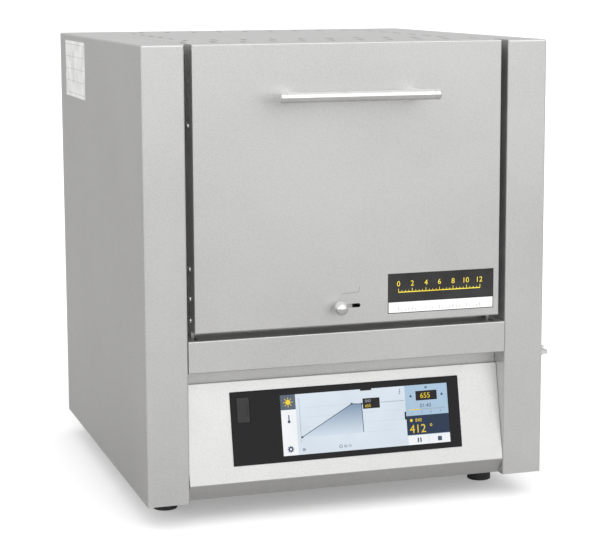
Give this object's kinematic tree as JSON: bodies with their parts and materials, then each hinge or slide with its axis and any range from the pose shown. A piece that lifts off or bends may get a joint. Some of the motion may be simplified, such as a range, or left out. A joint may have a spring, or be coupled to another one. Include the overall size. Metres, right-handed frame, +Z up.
{
  "type": "muffle furnace",
  "caption": "Bench-top muffle furnace in a folded steel casing, with a flap door on gooseneck arms, a bar handle, an air slide and a tilted touch panel.",
  "frame": {"origin": "on the floor, under the middle of the box that holds the whole furnace", "axes": "+X to the right seen from the door side, +Y from the door to the rear, +Z up"},
  "size_m": [0.4262, 0.4905, 0.47],
  "materials": {
    "textured_steel": "fine diagonal texture",
    "plain_steel": "mill finish",
    "polished_steel": "polished",
    "fibre_board": "matt ceramic fibre",
    "kiln_ceramic": "matt",
    "black_rubber": "matt",
    "black_plastic": "fine grain",
    "black_glass": "glossy",
    "screen": "lit",
    "bright_aluminium": "extruded",
    "bearing_brass": "turned",
    "magnet_iron": "plain"
  },
  "bodies": {
    "casing": {"left_side_panel": "textured_steel", "right_side_panel": "textured_steel", "top_cover": "textured_steel", "lintel": "textured_steel", "control_fascia": "textured_steel", "rear_panel": "plain_steel", "base_tray": "plain_steel", "front_frame": "plain_steel", "inner_shell": "plain_steel", "left_chamber_support": "plain_steel", "right_chamber_support": "plain_steel", "left_hinge_bracket": "plain_steel", "right_hinge_bracket": "plain_steel", "exhaust_spigot": "plain_steel", "usb_port": "plain_steel", "hinge_pins": "plain_steel", "rear_panel_screws": "polished_steel", "foot_screws": "polished_steel", "bracket_screws": "polished_steel", "floor_insulation": "fibre_board", "roof_insulation": "fibre_board", "left_insulation": "fibre_board", "right_insulation": "fibre_board", "rear_insulation": "fibre_board", "mouth_gasket": "fibre_board", "mouth_collar": "fibre_board", "hearth_plate": "kiln_ceramic", "left_heating_plate": "kiln_ceramic", "right_heating_plate": "kiln_ceramic", "heater_terminals": "kiln_ceramic", "thermocouple": "kiln_ceramic", "exhaust_tube": "kiln_ceramic", "front_left_foot": "black_rubber", "front_right_foot": "black_rubber", "rear_left_foot": "black_rubber", "rear_right_foot": "black_rubber", "controller_housing": "black_plastic", "power_switch_body": "black_plastic", "solid_state_relay": "black_plastic", "power_inlet": "black_plastic", "door_contact_sensor": "black_plastic", "display_glass": "black_glass", "display_screen": "screen", "heat_sink": "bright_aluminium"},
    "door": {"door_shell": "textured_steel", "door_inner_pan": "textured_steel", "door_insulation": "fibre_board", "door_plug": "fibre_board", "door_magnet": "magnet_iron", "door_side_screws": "polished_steel", "left_hinge_arm": "plain_steel", "right_hinge_arm": "plain_steel", "hinge_bushes": "bearing_brass", "handle_bar": "polished_steel", "handle_posts": "polished_steel", "air_duct": "plain_steel"},
    "air_inlet": {"air_slide": "plain_steel", "air_knob": "polished_steel"},
    "socket_cover": {"usb_cover": "black_rubber"},
    "rocker": {"power_rocker": "black_plastic"}
  },
  "joints": [
    {"name": "door_hinge", "type": "hinge", "parent": "casing", "child": "door", "pos_m": [-0.00565, -0.19825, 0.1775], "axis": [1, 0, 0], "range_deg": [0, 90]},
    {"name": "air_inlet_slide", "type": "slide", "parent": "door", "child": "air_inlet", "axis": [1, 0, 0], "range_m": [0, 0.022]},
    {"name": "socket_cover_hinge", "type": "hinge", "parent": "casing", "child": "socket_cover", "pos_m": [-0.11865, -0.19647, 0.11105], "axis": [0, -0.2096, -0.9778], "range_deg": [0, 95]},
    {"name": "power_rocker_pivot", "type": "hinge", "parent": "casing", "child": "rocker", "pos_m": [0.19785, -0.18975, 0.1554], "axis": [0, 1, 0], "range_deg": [0, 20]}
  ]
}
